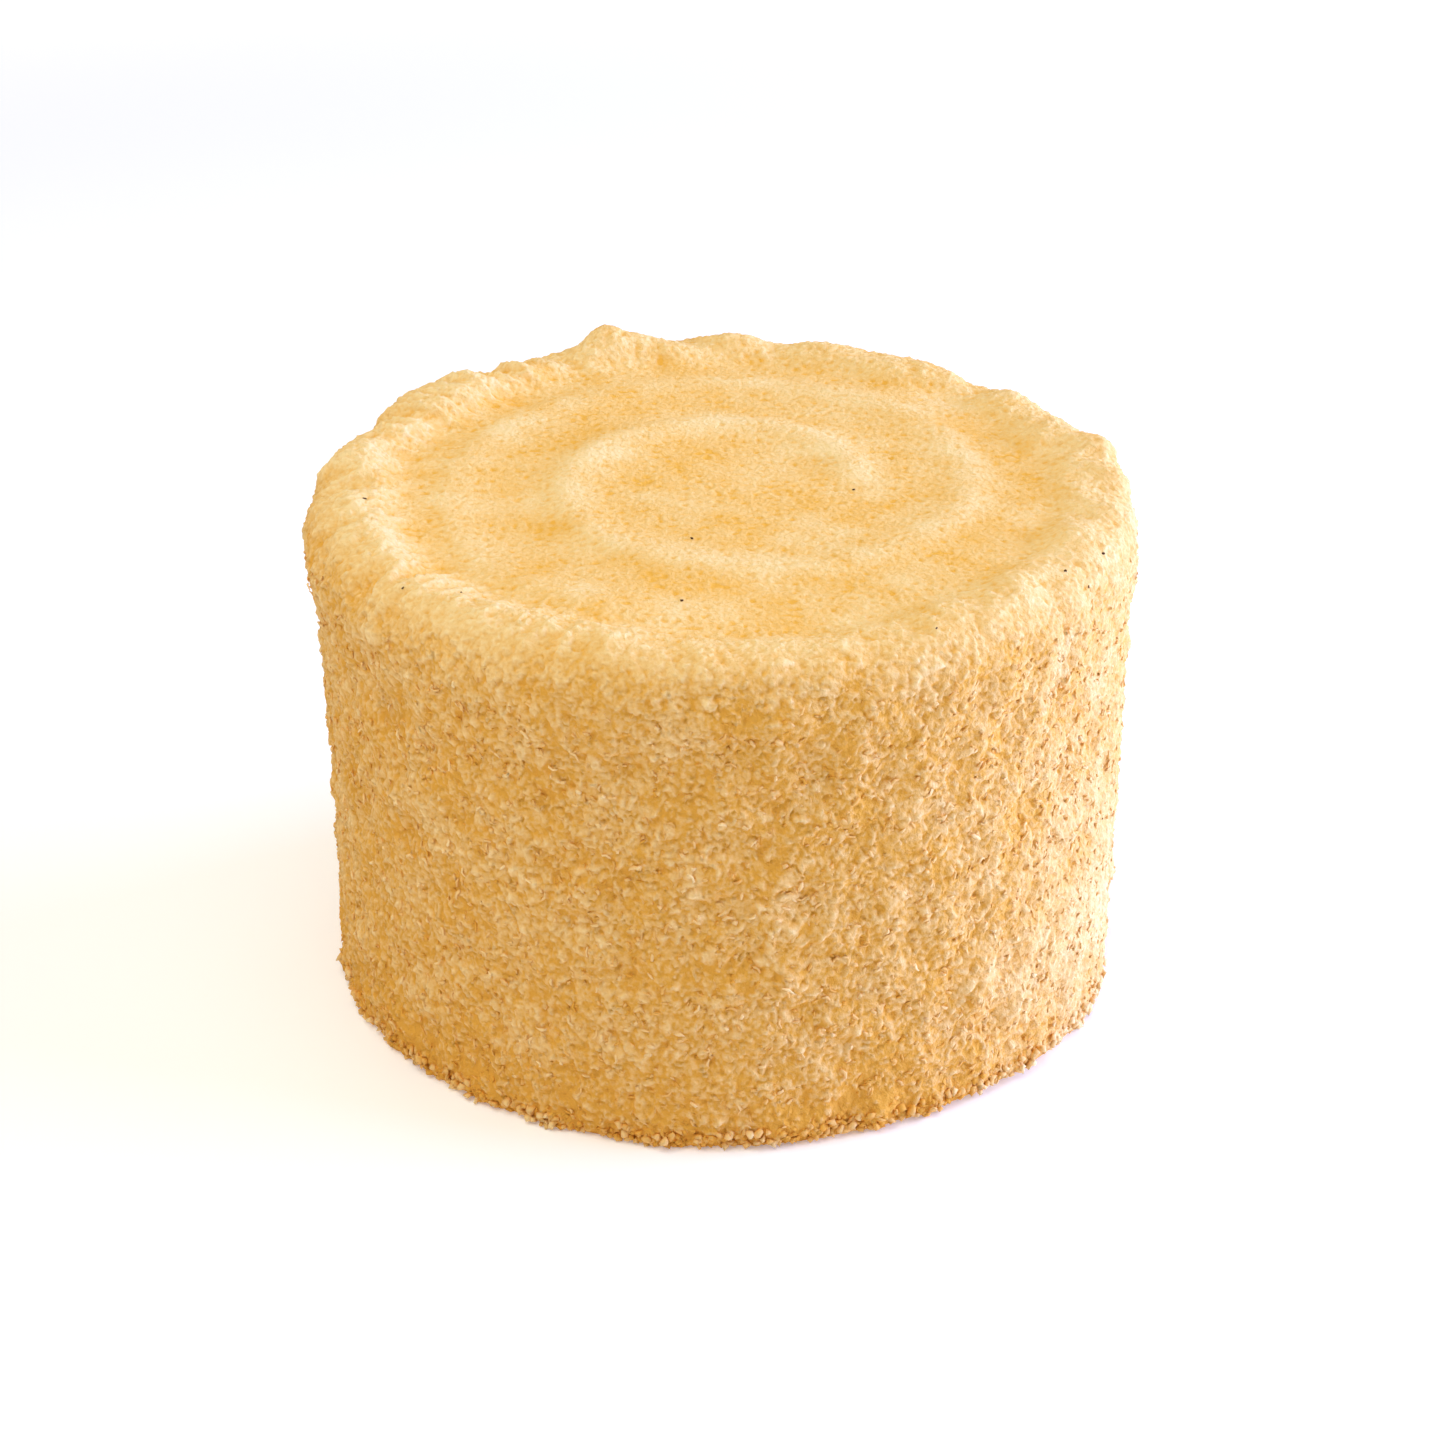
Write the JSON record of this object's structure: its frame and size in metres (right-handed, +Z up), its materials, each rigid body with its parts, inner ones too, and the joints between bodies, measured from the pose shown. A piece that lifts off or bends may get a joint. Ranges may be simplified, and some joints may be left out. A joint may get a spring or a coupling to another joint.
{
  "type": "double fromage cheesecake",
  "caption": "Tall round cheesecake coated all over in fine pale sponge crumbs, with a spiral swirl drawn into the top, a craggy raised rim and a flat base to rest on.",
  "frame": {"origin": "middle of the flat base that the cake rests on", "axes": "+Z up the cake's axis, -Y towards its front as pictured, +X to the right"},
  "size_m": [0.127, 0.1267, 0.0849],
  "materials": {
    "crumb_coat": "matt, fine sponge crumbs, pale butter yellow with golden hollows"
  },
  "bodies": {
    "root": {"cake": "crumb_coat"}
  },
  "joints": []
}
